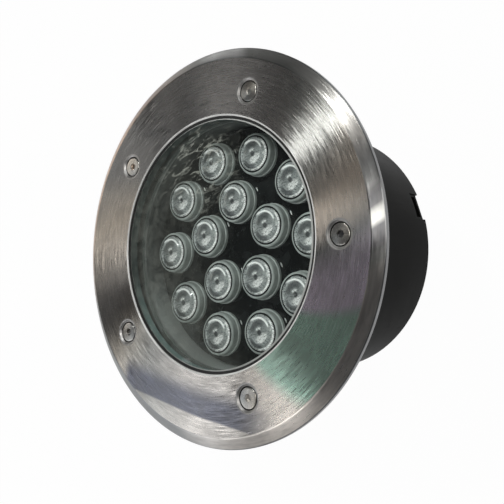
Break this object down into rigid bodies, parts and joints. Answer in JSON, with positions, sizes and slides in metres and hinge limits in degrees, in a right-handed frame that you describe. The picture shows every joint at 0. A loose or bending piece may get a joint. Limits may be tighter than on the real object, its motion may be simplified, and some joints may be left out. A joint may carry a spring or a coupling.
{
  "type": "in ground well light",
  "caption": "Round recessed ground light with a bevelled steel cover ring over a stepped glass, clustered collimator lenses inside and a black ground sleeve below.",
  "frame": {"origin": "centre of the sleeve's foot, on the ground that the light stands on", "axes": "+Z along the light's beam, up through the glass; +X through one of the sleeve's two cable windows"},
  "size_m": [0.18, 0.18, 0.09],
  "materials": {
    "ring_steel": "circumferentially brushed face, polished bevel",
    "screw_steel": "satin",
    "glass": "polished, greenish at the edge",
    "silicone": "matte",
    "cast_aluminium": "as cast",
    "plate_aluminium": "mill finish",
    "thermal_silicone": "matte",
    "board_black": "satin solder mask with tinned pads",
    "screw_black": "black oxide",
    "lamp_phosphor": "phosphor",
    "wire_red": "smooth insulation",
    "holder_plastic": "frosted, slightly translucent",
    "lens_acrylic": "clear, stippled face",
    "driver_plastic": "moulded",
    "driver_laminate": "laminate",
    "driver_dark": "moulded and wound parts",
    "gland_nylon": "moulded nylon",
    "seal_rubber": "matte",
    "sleeve_plastic": "semi-gloss moulded"
  },
  "bodies": {
    "root": {"cover_ring": "ring_steel", "cover_screws": "screw_steel", "glass": "glass", "glass_gasket": "silicone", "housing": "cast_aluminium", "heat_plate": "plate_aluminium", "thermal_pad": "thermal_silicone", "led_board": "board_black", "board_screws": "screw_black", "leds": "lamp_phosphor", "led_wires": "wire_red", "lens_holder_01": "holder_plastic", "lens_holder_02": "holder_plastic", "lens_holder_03": "holder_plastic", "lens_holder_04": "holder_plastic", "lens_holder_05": "holder_plastic", "lens_holder_06": "holder_plastic", "lens_holder_07": "holder_plastic", "lens_holder_08": "holder_plastic", "lens_holder_09": "holder_plastic", "lens_holder_10": "holder_plastic", "lens_holder_11": "holder_plastic", "lens_holder_12": "holder_plastic", "lens_holder_13": "holder_plastic", "lens_holder_14": "holder_plastic", "lens_holder_15": "holder_plastic", "lens_01": "lens_acrylic", "lens_02": "lens_acrylic", "lens_03": "lens_acrylic", "lens_04": "lens_acrylic", "lens_05": "lens_acrylic", "lens_06": "lens_acrylic", "lens_07": "lens_acrylic", "lens_08": "lens_acrylic", "lens_09": "lens_acrylic", "lens_10": "lens_acrylic", "lens_11": "lens_acrylic", "lens_12": "lens_acrylic", "lens_13": "lens_acrylic", "lens_14": "lens_acrylic", "lens_15": "lens_acrylic", "driver_case": "driver_plastic", "driver_lid": "driver_plastic", "driver_board": "driver_laminate", "driver_parts": "driver_dark", "driver_screws": "screw_steel", "gland_body": "gland_nylon", "gland_washer": "silicone", "gland_seal": "seal_rubber", "gland_nut": "gland_nylon", "sleeve": "sleeve_plastic"}
  },
  "joints": []
}
